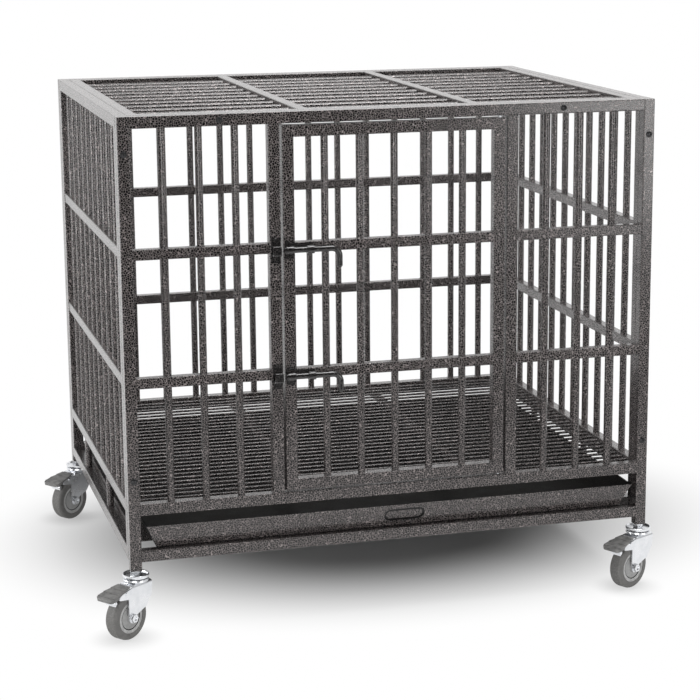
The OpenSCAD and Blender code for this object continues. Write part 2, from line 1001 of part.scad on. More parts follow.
// Pressed fork with the moving half of the swivel race on its crown
module caster_fork() {
    color(zinc)
        difference() {
            union() {
                intersection() {
                    translate([0, fork_out + 1, 0])
                        rotate([90, 0, 0])
                            linear_extrude(2 * fork_out + 2)
                                fork_outline();
                    translate([-40, 0, 0])
                        rotate([90, 0, 90])
                            linear_extrude(120)
                                fork_channel();
                }
                translate([0, 0, race_low])
                    rotate_extrude($fn = 64)
                        polygon([[0, 0], [cup_r - 4, 0], [cup_r - 1, 1.5], [cup_r - 0.5, 3],
                            [cup_r - 1, race_high - race_low], [0, race_high - race_low]]);
            }
            translate([0, 0, crown_low - 1])
                cylinder(r = king_r + run, h = race_high - crown_low + 2, $fn = 64);
            translate([crown_front, -fork_in, axle_z])
                cube([lug[0], 2 * fork_in, -axle_z]);
            translate([trail, fork_out + 1, axle_z])
                rotate([90, 0, 0])
                    cylinder(r = axle_r, h = 2 * fork_out + 2, $fn = 32);
            translate([lug[0], fork_out + 1, lug[1]])
                rotate([90, 0, 0])
                    cylinder(r = pedal_pin_r, h = 2 * fork_out + 2, $fn = 32);
            translate([stop_pin[0], fork_out + 1, stop_pin[1]])
                rotate([90, 0, 0])
                    cylinder(r = stop_pin_r, h = 2 * fork_out + 2, $fn = 32);
        }
}

// Pin across the fork with a flat head on each side
module fork_pin(place, r) {
    translate([place[0], 0, place[1]])
        rotate([90, 0, 0])
            union() {
                cylinder(r = r, h = 2 * fork_out + pin_head / 2, center = true, $fn = 32);
                for (y = [-1, 1])
                    translate([0, 0, y * (fork_out + pin_head / 2)])
                        cylinder(r = r + pin_head, h = pin_head, center = true, $fn = 32);
            }
}

// Axle bolt and nut, the bearing sleeve, the pedal's pin and its stop
module caster_axle() {
    color(zinc) {
        translate([trail, 0, axle_z])
            rotate([90, 0, 0])
                union() {
                    translate([0, 0, -fork_out - 4])
                        cylinder(r = axle_r, h = 2 * fork_out + 4, $fn = 32);
                    translate([0, 0, fork_out])
                        cylinder(d = 13 / cos(30), h = 5, $fn = 6);
                }
        translate([trail, fork_out, axle_z])
            rotate([-90, 0, 0])
                difference() {
                    cylinder(d = 13 / cos(30), h = 5.5, $fn = 6);
                    translate([0, 0, -1])
                        cylinder(r = axle_r + run, h = 8, $fn = 32);
                }
        translate([trail, fork_in, axle_z])
            rotate([90, 0, 0])
                difference() {
                    cylinder(r = sleeve_r, h = 2 * fork_in, $fn = 48);
                    translate([0, 0, -1])
                        cylinder(r = axle_r + run, h = 2 * fork_in + 2, $fn = 32);
                }
        fork_pin(lug, pedal_pin_r);
        fork_pin(stop_pin, stop_pin_r);
    }
}

// Hub with a raised rim ring, a groove and a bored boss
module caster_hub() {
    rim = wheel_r - 12;
    face = tyre_w / 2 - 1;
    boss = fork_in - slip;
    bore = sleeve_r + run;
    color(hub_grey)
        translate([trail, 0, axle_z])
            rotate([90, 0, 0])
                rotate_extrude($fn = 64)
                    polygon([[bore, -boss], [sleeve_r + 3, -boss], [sleeve_r + 4, -face - 0.5],
                        [rim - 7.5, -face + 0.8], [rim - 7, -face + 3], [rim - 6, -face + 3],
                        [rim - 6, -face + 0.4], [rim - 5.4, -face], [rim, -face],
                        [rim, face], [rim - 5.4, face], [rim - 6, face - 0.4],
                        [rim - 6, face - 3], [rim - 7, face - 3], [rim - 7.5, face - 0.8],
                        [sleeve_r + 4, face + 0.5], [sleeve_r + 3, boss], [bore, boss]]);
}

// Soft tyre with round shoulders
module caster_tyre() {
    rim = wheel_r - 12;
    shoulder = 6;
    color(tyre_grey)
        translate([trail, 0, axle_z])
            rotate([90, 0, 0])
                rotate_extrude($fn = 64) {
                    translate([rim, -tyre_w / 2])
                        square([12 - shoulder, tyre_w]);
                    translate([rim, -tyre_w / 2 + shoulder])
                        square([12, tyre_w - 2 * shoulder]);
                    for (y = [-1, 1])
                        translate([wheel_r - shoulder, y * (tyre_w / 2 - shoulder)])
                            circle(r = shoulder, $fn = 48);
                }
}

// Places its children at the pedal's pin, local +X down along the pedal
module at_pedal() {
    translate([lug[0], 0, lug[1]])
        rotate([0, pedal_slope, 0])
            children();
}

// Plan of the foot pedal: round at the foot end, tapering towards its tail
module pedal_plan() {
    shoulder = pedal_reach - pedal_round;
    polygon([[-pedal_tail, -pedal_tail_half], [tread_ends[1], -pedal_half],
        [shoulder, -pedal_half], [shoulder, pedal_half],
        [tread_ends[1], pedal_half], [-pedal_tail, pedal_tail_half]]);
    translate([shoulder - 1, -pedal_half + pedal_round])
        square([pedal_round + 1, 2 * (pedal_half - pedal_round)]);
    for (y = [-1, 1])
        translate([shoulder, y * (pedal_half - pedal_round)])
            circle(r = pedal_round, $fn = 48);
}

// Side view of the foot pedal: stepped treads above, a skirt round the foot end
module pedal_side() {
    top = pedal_low + 2;
    polygon([[-pedal_tail, pedal_low], [skirt_start, pedal_low], [skirt_start, skirt_low],
        [pedal_reach, skirt_low], [pedal_reach, top - 1], [pedal_reach - 1, top],
        [tread_ends[2], top], [tread_ends[2], top + tread_h],
        [tread_ends[1], top], [tread_ends[1], top + tread_h],
        [tread_ends[0], top], [tread_ends[0], top + tread_h],
        [-pedal_tail, top]]);
}

// Stepped foot pedal over the fork's arms, turning on a barrel between them
module caster_pedal() {
    inner = fork_in - 1.2;
    web = lug_r - 1;
    color(grey_plastic)
        at_pedal()
            difference() {
                union() {
                    intersection() {
                        translate([0, pedal_half + 1, 0])
                            rotate([90, 0, 0])
                                linear_extrude(2 * pedal_half + 2)
                                    pedal_side();
                        linear_extrude(pedal_low + 2 * pedal_half)
                            pedal_plan();
                    }
                    rotate([90, 0, 0])
                        cylinder(r = lug_r, h = 2 * inner, center = true, $fn = 48);
                    translate([-web, -inner, 0])
                        cube([2 * web, 2 * inner, pedal_low + 0.5]);
                }
                rotate([90, 0, 0])
                    cylinder(r = pedal_pin_r + run, h = 2 * inner + 2, center = true, $fn = 48);
            }
}

// Metal brake shoe under the pedal, clear of the tyre until the pedal is tipped
module caster_shoe() {
    half = tyre_w / 2 - 1.5;
    leaf = skirt_start + 3;
    sheet = 2;
    color(zinc)
        at_pedal() {
            translate([leaf - 1, -half, skirt_low - sheet])
                cube([10, 2 * half, sheet]);
            translate([leaf, -half, -shoe_drop])
                cube([sheet, 2 * half, shoe_drop + skirt_low - 0.5]);
            translate([leaf + sheet / 2, 0, -shoe_drop / 2])
                rotate([90, 0, 0])
                    cylinder(d = 6, h = tyre_w + 1, center = true, $fn = 32);
        }
}

module front_left_fork() {
    at_caster(0)
        caster_fork();
}

module front_left_axle() {
    at_caster(0)
        caster_axle();
}

module front_left_hub() {
    at_caster(0)
        caster_hub();
}

module front_left_tyre() {
    at_caster(0)
        caster_tyre();
}

module front_left_pedal() {
    at_caster(0)
        caster_pedal();
}

module front_left_shoe() {
    at_caster(0)
        caster_shoe();
}

module front_right_fork() {
    at_caster(1)
        caster_fork();
}

module front_right_axle() {
    at_caster(1)
        caster_axle();
}

module front_right_hub() {
    at_caster(1)
        caster_hub();
}

module front_right_tyre() {
    at_caster(1)
        caster_tyre();
}

module front_right_pedal() {
    at_caster(1)
        caster_pedal();
}

module front_right_shoe() {
    at_caster(1)
        caster_shoe();
}

module back_left_fork() {
    at_caster(2)
        caster_fork();
}

module back_left_axle() {
    at_caster(2)
        caster_axle();
}

module back_left_hub() {
    at_caster(2)
        caster_hub();
}

module back_left_tyre() {
    at_caster(2)
        caster_tyre();
}

module back_left_pedal() {
    at_caster(2)
        caster_pedal();
}

module back_left_shoe() {
    at_caster(2)
        caster_shoe();
}

module back_right_fork() {
    at_caster(3)
        caster_fork();
}

module back_right_axle() {
    at_caster(3)
        caster_axle();
}

module back_right_hub() {
    at_caster(3)
        caster_hub();
}

module back_right_tyre() {
    at_caster(3)
        caster_tyre();
}

module back_right_pedal() {
    at_caster(3)
        caster_pedal();
}

module back_right_shoe() {
    at_caster(3)
        caster_shoe();
}

front_left_post();
front_right_post();
back_left_post();
back_right_post();
front_left_grille();
front_right_grille();
front_top_rail();
front_floor_rail();
front_base_rail();
back_grille();
back_base_rail();
left_panel();
right_panel();
top_panel();
floor_grate();
grate_ledges();
tray_runners();
tray_floor();
tray_front();
tray_back();
tray_sides();
door_panel();
hinge_pins();
latch_guides();
latch_keepers();
upper_bolt();
lower_bolt();
panel_screws();
rivet_nuts();
leg_plugs();
caster_stems();
caster_cups();
front_left_fork();
front_left_axle();
front_left_hub();
front_left_tyre();
front_left_pedal();
front_left_shoe();
front_right_fork();
front_right_axle();
front_right_hub();
front_right_tyre();
front_right_pedal();
front_right_shoe();
back_left_fork();
back_left_axle();
back_left_hub();
back_left_tyre();
back_left_pedal();
back_left_shoe();
back_right_fork();
back_right_axle();
back_right_hub();
back_right_tyre();
back_right_pedal();
back_right_shoe();
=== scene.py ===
"""Heavy dog crate on casters, dressed for the studio.

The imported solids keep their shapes. Each one gets its finish here, the welded joints get their
beads, the pan's finger pull gets its lip, and the crate stands on a pale floor under soft light.
All lengths are in metres.
"""
import json
import logging
import math
from dataclasses import dataclass, field
from enum import Enum
from typing import Iterable

import bmesh
import bpy
from mathutils import Matrix, Vector


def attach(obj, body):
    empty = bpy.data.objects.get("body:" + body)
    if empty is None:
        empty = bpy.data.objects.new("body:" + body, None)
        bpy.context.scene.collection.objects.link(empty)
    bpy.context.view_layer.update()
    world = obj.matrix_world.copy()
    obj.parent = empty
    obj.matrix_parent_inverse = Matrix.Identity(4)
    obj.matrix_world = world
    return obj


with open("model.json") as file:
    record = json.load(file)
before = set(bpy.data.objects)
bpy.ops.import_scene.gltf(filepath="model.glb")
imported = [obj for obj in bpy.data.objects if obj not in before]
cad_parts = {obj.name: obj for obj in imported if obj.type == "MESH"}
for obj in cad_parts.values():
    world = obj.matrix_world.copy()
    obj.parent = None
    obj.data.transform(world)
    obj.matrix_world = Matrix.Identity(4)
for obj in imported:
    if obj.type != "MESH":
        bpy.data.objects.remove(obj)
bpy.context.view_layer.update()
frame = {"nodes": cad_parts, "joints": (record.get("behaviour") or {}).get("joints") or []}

LOG = logging.getLogger("dog_crate")

RGB = tuple[float, float, float]
Point = tuple[float, float, float]
Range = tuple[float, float]
Socket = bpy.types.NodeSocket

NOISE_BAND: Range = (0.3, 0.7)
RISE: Range = (0.0, 1.0)
FALL: Range = (1.0, 0.0)
WHITE = (1.0, 1.0, 1.0, 1.0)
UPRIGHT: Point = (0.0, 0.0, 1.0)
SIDEWAYS: Point = (1.0, 0.0, 0.0)


class Corner(str, Enum):
    """Corners of the crate, one caster at each."""

    FRONT_LEFT = "front_left"
    FRONT_RIGHT = "front_right"
    BACK_LEFT = "back_left"
    BACK_RIGHT = "back_right"


class Fade(str, Enum):
    """Ways from one value to the next."""

    EVEN = "LINEAR"
    SOFT = "SMOOTHSTEP"


class Layer(str, Enum):
    """Layers of a finish that can carry a relief."""

    BODY = "Normal"
    GLOSS = "Coat Normal"


@dataclass(frozen=True)
class Noise:
    """Noise pattern: cells per metre, finer octaves and their strength."""

    scale: float
    detail: float = 2.0
    grit: float = 0.5


@dataclass(frozen=True)
class Relief:
    """Relief of a surface: its height and the share of it that shows."""

    depth: float
    share: float


class NodeBoard:
    """Node tree with short calls to add and join its nodes."""

    def __init__(self, tree: bpy.types.NodeTree) -> None:
        """Start with an empty tree."""
        self.tree = tree
        self.tree.nodes.clear()

    def add(self, kind: str, **settings: object) -> bpy.types.Node:
        """Add a node and set its properties.

        Args:
            kind: Blender's name of the node type.
            settings: properties of the node and their values.

        Returns:
            The new node.
        """
        node = self.tree.nodes.new(kind)
        for name, value in settings.items():
            setattr(node, name, value)
        return node

    def join(self, source: Socket, target: Socket) -> None:
        """Link an output to an input."""
        self.tree.links.new(source, target)

    def feed(self, target: Socket, value: Socket | float) -> None:
        """Link an output to an input, or set the input's own value."""
        if isinstance(value, bpy.types.NodeSocket):
            self.join(value, target)
        else:
            target.default_value = value

    def calc(self, operation: str, *values: Socket | float) -> Socket:
        """Add a sum of one to three values.

        Args:
            operation: Blender's name of the operation.
            values: the values in the operation's order.

        Returns:
            The result.
        """
        node = self.add("ShaderNodeMath", operation=operation)
        for target, value in zip(node.inputs, values):
            self.feed(target, value)
        return node.outputs[0]

    def choose(self, share: Socket, first: Socket | float, second: Socket | float) -> Socket:
        """Go from one value to another.

        Args:
            share: share of the second value.
            first: value where the share is 0.
            second: value where the share is 1.

        Returns:
            The value between them.
        """
        node = self.add("ShaderNodeMix", data_type="FLOAT")
        numbers = [socket for socket in node.inputs if socket.type == "VALUE"]
        for target, value in zip(numbers, (share, first, second)):
            self.feed(target, value)
        return node.outputs[0]

    def shift(self, operation: str, place: Socket, by: Point) -> Socket:
        """Change coordinates by a fixed vector.

        Args:
            operation: Blender's name of the operation.
            place: coordinates to change.
            by: the fixed vector.

        Returns:
            The new coordinates.
        """
        node = self.add("ShaderNodeVectorMath", operation=operation)
        self.join(place, node.inputs[0])
        node.inputs[1].default_value = by
        return node.outputs["Vector"]

    def length(self, place: Socket) -> Socket:
        """Length of a vector."""
        node = self.add("ShaderNodeVectorMath", operation="LENGTH")
        self.join(place, node.inputs[0])
        return node.outputs["Value"]

    def split(self, place: Socket) -> bpy.types.NodeOutputs:
        """Part coordinates into X, Y and Z."""
        node = self.add("ShaderNodeSeparateXYZ")
        self.join(place, node.inputs["Vector"])
        return node.outputs

    def span(self, value: Socket, given: Range, result: Range, fade: Fade = Fade.SOFT) -> Socket:
        """Map a value from one range to another and hold it at the ends.

        Args:
            value: value to map.
            given: values that give the ends of the result.
            result: result at these values.
            fade: way between the ends.

        Returns:
            The mapped value.
        """
        node = self.add("ShaderNodeMapRange", interpolation_type=fade.value)
        self.join(value, node.inputs["Value"])
        ends = zip(("From Min", "From Max", "To Min", "To Max"), (*given, *result))
        for name, number in ends:
            node.inputs[name].default_value = number
        return node.outputs["Result"]


class NodeSheet(NodeBoard):
    """Nodes of one finish on a solid."""

    def __init__(self, name: str) -> None:
        """Start a material whose main shader is joined to its output."""
        self.material = bpy.data.materials.new(name)
        self.material.use_nodes = True
        super().__init__(self.material.node_tree)
        self.shader = self.add("ShaderNodeBsdfPrincipled")
        output = self.add("ShaderNodeOutputMaterial")
        self.join(self.shader.outputs["BSDF"], output.inputs["Surface"])
        self.place = self.add("ShaderNodeTexCoord").outputs["Object"]

    def fix(self, values: dict[str, float]) -> None:
        """Set values that are the same all over on the shader's own sockets."""
        for name, value in values.items():
            self.shader.inputs[name].default_value = value

    def drive(self, name: str, source: Socket) -> None:
        """Join an output to one of the shader's inputs."""
        self.join(source, self.shader.inputs[name])

    def noise(self, pattern: Noise) -> Socket:
        """Add a noise pattern.

        Args:
            pattern: its size and strength.

        Returns:
            The pattern's value, about 0.5 in the middle.
        """
        node = self.add("ShaderNodeTexNoise")
        node.inputs["Scale"].default_value = pattern.scale
        node.inputs["Detail"].default_value = pattern.detail
        node.inputs["Roughness"].default_value = pattern.grit
        self.join(self.place, node.inputs["Vector"])
        return node.outputs["Fac"]

    def veins(self, scale: float, width: float, fade: float) -> Socket:
        """Add a net of veins along the borders of uneven cells.

        Args:
            scale: cells per metre.
            width: half width of a vein, as a share of a cell.
            fade: share of a cell over which a vein ends.

        Returns:
            1 on a vein and 0 inside a cell.
        """
        node = self.add("ShaderNodeTexVoronoi", feature="DISTANCE_TO_EDGE")
        node.inputs["Scale"].default_value = scale
        self.join(self.place, node.inputs["Vector"])
        return self.span(node.outputs["Distance"], (width, width + fade), FALL)

    def ramp(self, value: Socket, stops: Range, first: RGB, second: RGB) -> Socket:
        """Colour a value between two stops.

        Args:
            value: value to colour.
            stops: values at which the two colours are pure.
            first: colour at and below the first stop.
            second: colour at and above the second stop.

        Returns:
            The colour.
        """
        node = self.add("ShaderNodeValToRGB")
        for element, where, colour in zip(node.color_ramp.elements, stops, (first, second)):
            element.position = where
            element.color = (*colour, 1.0)
        self.join(value, node.inputs["Fac"])
        return node.outputs["Color"]

    def mix(self, share: Socket, first: Socket | RGB, second: Socket | RGB) -> Socket:
        """Mix two colours.

        Args:
            share: share of the second colour.
            first: colour where the share is 0.
            second: colour where the share is 1.

        Returns:
            The mixed colour.
        """
        node = self.add("ShaderNodeMix", data_type="RGBA")
        colours = [socket for socket in node.inputs if socket.type == "RGBA"]
        self.join(share, node.inputs[0])
        for target, colour in zip(colours, (first, second)):
            self.feed(target, (*colour, 1.0) if isinstance(colour, tuple) else colour)
        return next(socket for socket in node.outputs if socket.type == "RGBA")

    def bump(self, height: Socket, relief: Relief, layer: Layer = Layer.BODY) -> None:
        """Raise the surface by a pattern.

        Args:
            height: pattern from 0 to 1.
            relief: how high it is raised.
            layer: layer that takes the relief.
        """
        node = self.add("ShaderNodeBump")
        node.inputs["Distance"].default_value = relief.depth
        node.inputs["Strength"].default_value = relief.share
        self.join(height, node.inputs["Height"])
        self.drive(layer.value, node.outputs["Normal"])

    def radius(self, centre: Point, axis: Point) -> Socket:
        """Distance of a point from a turning axis.

        Args:
            centre: a point of the axis.
            axis: the axis, of length 1.

        Returns:
            The distance.
        """
        return self.length(self.shift("CROSS_PRODUCT", self.shift("SUBTRACT", self.place, centre), axis))


@dataclass(frozen=True)
class HammeredCoat:
    """Baked coat of dark hollows between raised silver veins, under a clear gloss."""

    name: str = "hammered_coat"
    hollow: RGB = (0.0034, 0.003, 0.0031)
    vein: RGB = (0.385, 0.335, 0.327)
    cells: float = 265.0
    vein_width: float = 0.03
    vein_fade: float = 0.05
    cloud: Noise = Noise(9.0, 3.0)
    tone: Range = (0.86, 1.0)
    metal: Range = (0.0, 0.3)
    rough: Range = (0.24, 0.34)
    shine: float = 0.4
    gloss: float = 0.5
    haze: float = 0.16
    relief: Relief = Relief(0.0003, 0.7)
    gloss_relief: Relief = Relief(0.0003, 0.15)

    def cover(self, sheet: NodeSheet, vein: Socket) -> Socket:
        """Share of silver that shows at each point.

        Args:
            sheet: the coat's nodes.
            vein: pattern of the veins.

        Returns:
            The share, a little uneven over the crate.
        """
        tone = sheet.span(sheet.noise(self.cloud), NOISE_BAND, self.tone)
        return sheet.calc("MULTIPLY", vein, tone)

    def material(self) -> bpy.types.Material:
        """Make the coat's material.

        Returns:
            The material.
        """
        sheet = NodeSheet(self.name)
        vein = sheet.veins(self.cells, self.vein_width, self.vein_fade)
        sheet.fix({"Specular IOR Level": self.shine, "Coat Weight": self.gloss,
                   "Coat Roughness": self.haze})
        share = self.cover(sheet, vein)
        sheet.drive("Base Color", sheet.mix(share, self.hollow, self.vein))
        sheet.drive("Metallic", sheet.span(share, RISE, self.metal))
        sheet.drive("Roughness", sheet.span(share, RISE, self.rough))
        sheet.bump(vein, self.relief)
        sheet.bump(vein, self.gloss_relief, Layer.GLOSS)
        return sheet.material


@dataclass(frozen=True)
class PanCoat(HammeredCoat):
    """The same coat on the pan's front, with painted shade along the wall of the pressed pull."""

    name: str = "pan_coat"
    pull_middle: Point = (0.016, -0.3674, 0.174)
    pull_straight: float = 0.025
    pull_round: float = 0.011
    pull_slope: float = 0.942
    groove: float = 0.0036
    groove_out: float = 0.0012
    groove_edge: float = 0.0005

    def cover(self, sheet: NodeSheet, vein: Socket) -> Socket:
        """Share of silver that shows, none in a band along the wall of the pull, which is painted shade.

        Args:
            sheet: the coat's nodes.
            vein: pattern of the veins.

        Returns:
            The share.
        """
        place = sheet.split(sheet.shift("SUBTRACT", sheet.place, self.pull_middle))
        along = sheet.calc("SUBTRACT", sheet.calc("ABSOLUTE", place["X"]), self.pull_straight)
        along = sheet.calc("MAXIMUM", along, 0.0)
        across = sheet.calc("DIVIDE", place["Z"], self.pull_slope)
        along_square = sheet.calc("MULTIPLY", along, along)
        across_square = sheet.calc("MULTIPLY", across, across)
        reach = sheet.calc("SQRT", sheet.calc("ADD", along_square, across_square))
        reach = sheet.calc("SUBTRACT", reach, self.pull_round)
        # A band along the pull's wall loses its silver and its gloss: painted shade.
        half = self.groove / 2
        off = sheet.calc("ABSOLUTE", sheet.calc("ADD", reach, half - self.groove_out))
        clear = sheet.span(off, (half, half + self.groove_edge), RISE)
        sheet.drive("Coat Weight", sheet.calc("MULTIPLY", clear, self.gloss))
        return sheet.calc("MULTIPLY", super().cover(sheet, vein), clear)


@dataclass(frozen=True)
class PanShadeBlack:
    """Near-black matt finish inside the pan, painted shade for the dark under the floor grate, with
    flecks of silver and a film of dust.
    """

    name: str = "pan_painted_shade"
    shade_black: RGB = (0.005, 0.005, 0.005)
    dust: RGB = (0.016, 0.015, 0.014)
    fleck: RGB = (0.034, 0.032, 0.031)
    stops: Range = (0.35, 0.7)
    cloud: Noise = Noise(30.0, 5.0, 0.6)
    cells: float = 265.0
    vein_width: float = 0.03
    vein_fade: float = 0.05
    rough: Range = (0.62, 0.8)
    shine: float = 0.12
    relief: Relief = Relief(0.0003, 0.5)

    def material(self) -> bpy.types.Material:
        """Make the material of the pan's painted shade.

        Returns:
            The material.
        """
        sheet = NodeSheet(self.name)
        cloud = sheet.noise(self.cloud)
        vein = sheet.veins(self.cells, self.vein_width, self.vein_fade)
        # Near-black base: painted shade inside the pan; the dust film and the silver flecks vary the
        # surface.
        base = sheet.ramp(cloud, self.stops, self.shade_black, self.dust)
        sheet.drive("Base Color", sheet.mix(vein, base, self.fleck))
        sheet.drive("Roughness", sheet.span(cloud, NOISE_BAND, self.rough))
        sheet.fix({"Specular IOR Level": self.shine})
        sheet.bump(vein, self.relief)
        return sheet.material


@dataclass(frozen=True)
class CloudyMetal:
    """Metal with a cloudy tone and a fine grain."""

    name: str
    dull: RGB
    pale: RGB
    stops: Range
    cloud: Noise
    grain: Noise
    rough: Range
    metal: float
    relief: Relief

    def material(self) -> bpy.types.Material:
        """Make the metal's material.

        Returns:
            The material.
        """
        sheet = NodeSheet(self.name)
        cloud = sheet.noise(self.cloud)
        sheet.drive("Base Color", sheet.ramp(cloud, self.stops, self.dull, self.pale))
        sheet.drive("Roughness", sheet.span(cloud, NOISE_BAND, self.rough))
        sheet.fix({"Metallic": self.metal})
        sheet.bump(sheet.noise(self.grain), self.relief)
        return sheet.material


@dataclass(frozen=True)
class ZincPlate(CloudyMetal):
    """Bright zinc plating with faint cloudy spangle."""

    name: str = "zinc_plate"
    dull: RGB = (0.76, 0.775, 0.8)
    pale: RGB = (0.84, 0.85, 0.87)
    stops: Range = (0.32, 0.62)
    cloud: Noise = Noise(60.0, 3.0)
    grain: Noise = Noise(1400.0)
    rough: Range = (0.32, 0.26)
    metal: float = 1.0
    relief: Relief = Relief(0.00005, 0.5)


@dataclass(frozen=True)
class ScrewBlack(CloudyMetal):
    """Blackened steel of the button-head screws and the inserts."""

    name: str = "screw_black"
    dull: RGB = (0.02, 0.02, 0.021)
    pale: RGB = (0.085, 0.085, 0.088)
    stops: Range = (0.35, 0.68)
    cloud: Noise = Noise(420.0, 3.0, 0.6)
    grain: Noise = Noise(1800.0)
    rough: Range = (0.28, 0.42)
    metal: float = 0.7
    relief: Relief = Relief(0.00006, 0.5)


@dataclass(frozen=True)
class PedalPlastic:
    """Grained grey moulding of the brake pedals."""

    name: str = "pedal_plastic"
    deep: RGB = (0.17, 0.168, 0.165)
    worn: RGB = (0.36, 0.355, 0.35)
    stops: Range = (0.35, 0.72)
    cloud: Noise = Noise(70.0, 4.0, 0.6)
    grain: Noise = Noise(1100.0, 2.0, 0.6)
    rough: Range = (0.42, 0.58)
    relief: Relief = Relief(0.00012, 0.6)

    def material(self) -> bpy.types.Material:
        """Make the pedals' material.

        Returns:
            The material.
        """
        sheet = NodeSheet(self.name)
        cloud = sheet.noise(self.cloud)
        sheet.drive("Base Color", sheet.ramp(cloud, self.stops, self.deep, self.worn))
        grain = sheet.noise(self.grain)
        sheet.drive("Roughness", sheet.span(grain, NOISE_BAND, self.rough))
        sheet.bump(grain, self.relief)
        return sheet.material


@dataclass(frozen=True)
class HubPlastic:
    """Moulded hub: a pale rim ring round a greyer disc, with painted shade in the groove between them.
    """

    name: str
    centre: Point
    axis: Point
    groove: float = 0.0215
    groove_in: float = 0.0012
    groove_out: float = 0.0004
    groove_edge: float = 0.0006
    ring: RGB = (0.68, 0.68, 0.674)
    disc: RGB = (0.46, 0.46, 0.456)
    groove_shade: RGB = (0.03, 0.03, 0.03)
    stain: RGB = (0.22, 0.22, 0.215)
    stain_band: Range = (0.3, 0.75)
    stain_share: Range = (0.0, 0.35)
    cloud: Noise = Noise(160.0, 3.0, 0.6)
    grain: Noise = Noise(1300.0)
    rough: Range = (0.3, 0.46)
    relief: Relief = Relief(0.00006, 0.5)

    def material(self) -> bpy.types.Material:
        """Make the hub's material.

        Returns:
            The material.
        """
        sheet = NodeSheet(self.name)
        away = sheet.radius(self.centre, self.axis)
        cloud = sheet.noise(self.cloud)
        stain = sheet.span(cloud, self.stain_band, self.stain_share)
        start = self.groove - self.groove_in
        end = self.groove + self.groove_out
        inner = sheet.span(away, (start, start + self.groove_edge), RISE)
        outer = sheet.span(away, (end, end + self.groove_edge), RISE)
        # The groove between disc and ring is painted near black: painted shade.
        body = sheet.mix(outer, sheet.mix(inner, self.disc, self.groove_shade), self.ring)
        sheet.drive("Base Color", sheet.mix(stain, body, self.stain))
        sheet.drive("Roughness", sheet.span(cloud, NOISE_BAND, self.rough))
        sheet.bump(sheet.noise(self.grain), self.relief)
        return sheet.material


@dataclass(frozen=True)
class TyreRubber:
    """Grey non-marking rubber, dusty and scuffed on its tread."""

    name: str
    centre: Point
    axis: Point
    tread: float = 0.04
    shoulder: float = 0.004
    crown: float = 0.0004
    body: RGB = (0.235, 0.231, 0.224)
    dark: RGB = (0.18, 0.177, 0.172)
    dust: RGB = (0.3, 0.295, 0.285)
    stops: Range = (0.3, 0.66)
    cloud: Noise = Noise(120.0, 4.0, 0.62)
    scuff: Noise = Noise(340.0, 4.0, 0.7)
    scuff_band: Range = (0.42, 0.66)
    scuff_share: Range = (0.0, 0.8)
    tread_share: Range = (0.1, 1.0)
    grain: Noise = Noise(1500.0, 3.0, 0.6)
    rough: Range = (0.52, 0.66)
    shine: float = 0.4
    relief: Relief = Relief(0.00015, 0.6)

    def material(self) -> bpy.types.Material:
        """Make the tyre's material.

        Returns:
            The material.
        """
        sheet = NodeSheet(self.name)
        away = sheet.radius(self.centre, self.axis)
        cloud = sheet.noise(self.cloud)
        base = sheet.ramp(cloud, self.stops, self.dark, self.body)
        scuff = sheet.span(sheet.noise(self.scuff), self.scuff_band, self.scuff_share)
        edge = (self.tread - self.shoulder, self.tread - self.crown)
        near = sheet.span(away, edge, self.tread_share)
        worn = sheet.calc("MULTIPLY", scuff, near)
        sheet.drive("Base Color", sheet.mix(worn, base, self.dust))
        sheet.drive("Roughness", sheet.span(cloud, NOISE_BAND, self.rough))
        sheet.fix({"Specular IOR Level": self.shine})
        sheet.bump(sheet.noise(self.grain), self.relief)
        return sheet.material


def turns(count: int, start: float = 0.0) -> list[float]:
    """Angles of even steps round a circle.

    Args:
        count: number of steps.
        start: where the first one stands, in steps.

    Returns:
        The angles.
    """
    return [2.0 * math.pi * (k + start) / count for k in range(count)]


